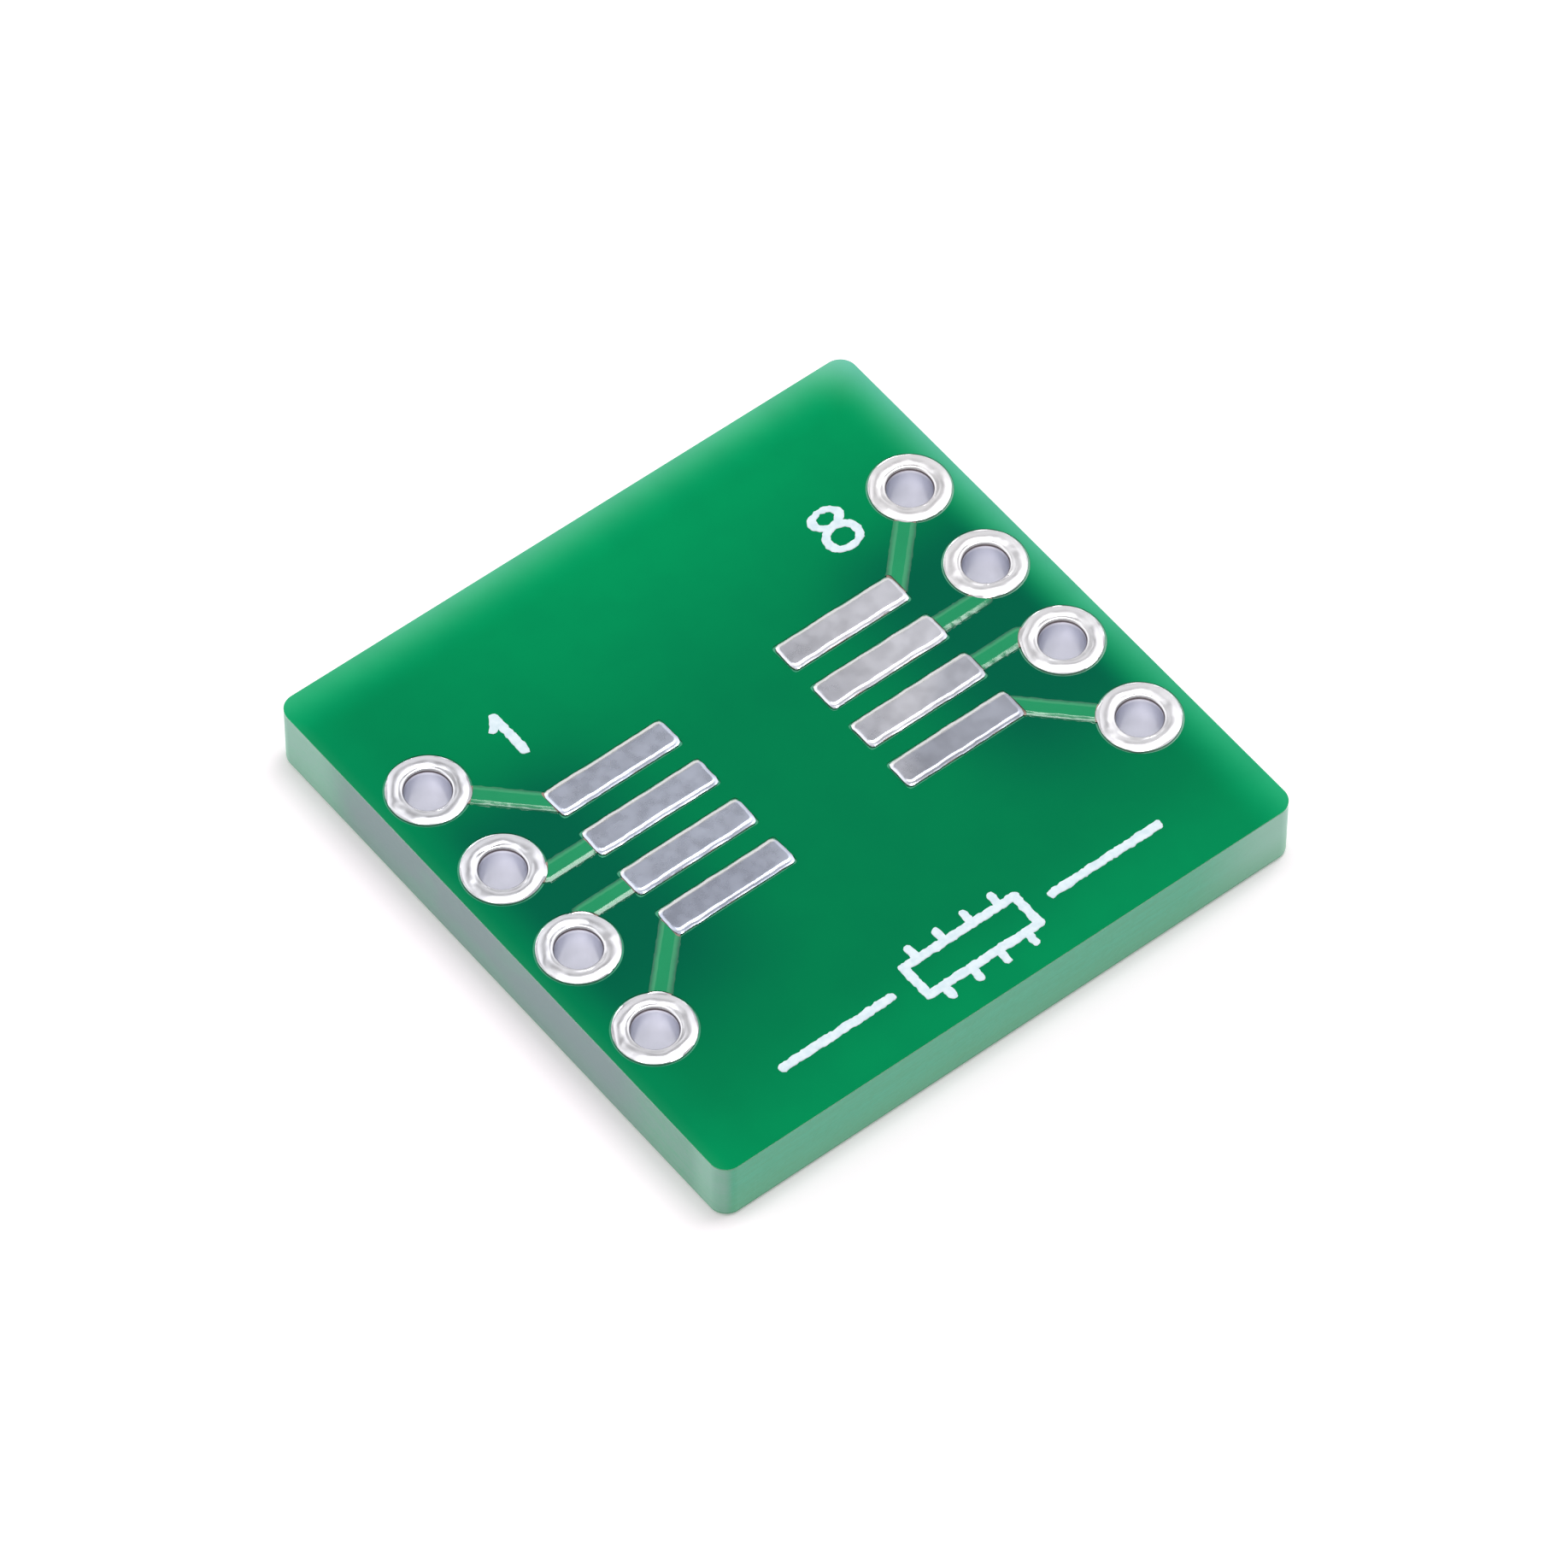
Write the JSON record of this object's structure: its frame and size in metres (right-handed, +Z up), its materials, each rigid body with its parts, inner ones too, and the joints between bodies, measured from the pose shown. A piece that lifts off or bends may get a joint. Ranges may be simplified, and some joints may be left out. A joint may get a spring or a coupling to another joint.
{
  "type": "smd to dip adapter board",
  "caption": "Square green circuit board that takes a small-outline chip on flat solder pads and leads its legs out to rows of plated pin holes.",
  "frame": {"origin": "under the middle of the board, on the plane that its lower solder rings rest on", "axes": "+Z up out of the chip side, +X across the two rows of holes from pins 1-4 to pins 5-8, +Y along the rows towards pins 1 and 8"},
  "size_m": [0.015, 0.015, 0.0017],
  "materials": {
    "laminate": "glass-epoxy laminate, sawn edge, faintly green and translucent",
    "solder_mask": "glossy green lacquer film",
    "copper": "etched copper",
    "solder": "bright levelled solder",
    "legend": "white screen-printed ink"
  },
  "bodies": {
    "root": {"substrate": "laminate", "solder_mask_top": "solder_mask", "solder_mask_bottom": "solder_mask", "pin_1_plated_hole": "solder", "pin_1_trace": "copper", "pin_1_pad_solder": "solder", "pin_2_plated_hole": "solder", "pin_2_trace": "copper", "pin_2_pad_solder": "solder", "pin_3_plated_hole": "solder", "pin_3_trace": "copper", "pin_3_pad_solder": "solder", "pin_4_plated_hole": "solder", "pin_4_trace": "copper", "pin_4_pad_solder": "solder", "pin_5_plated_hole": "solder", "pin_5_trace": "copper", "pin_5_pad_solder": "solder", "pin_6_plated_hole": "solder", "pin_6_trace": "copper", "pin_6_pad_solder": "solder", "pin_7_plated_hole": "solder", "pin_7_trace": "copper", "pin_7_pad_solder": "solder", "pin_8_plated_hole": "solder", "pin_8_trace": "copper", "pin_8_pad_solder": "solder"}
  },
  "joints": []
}
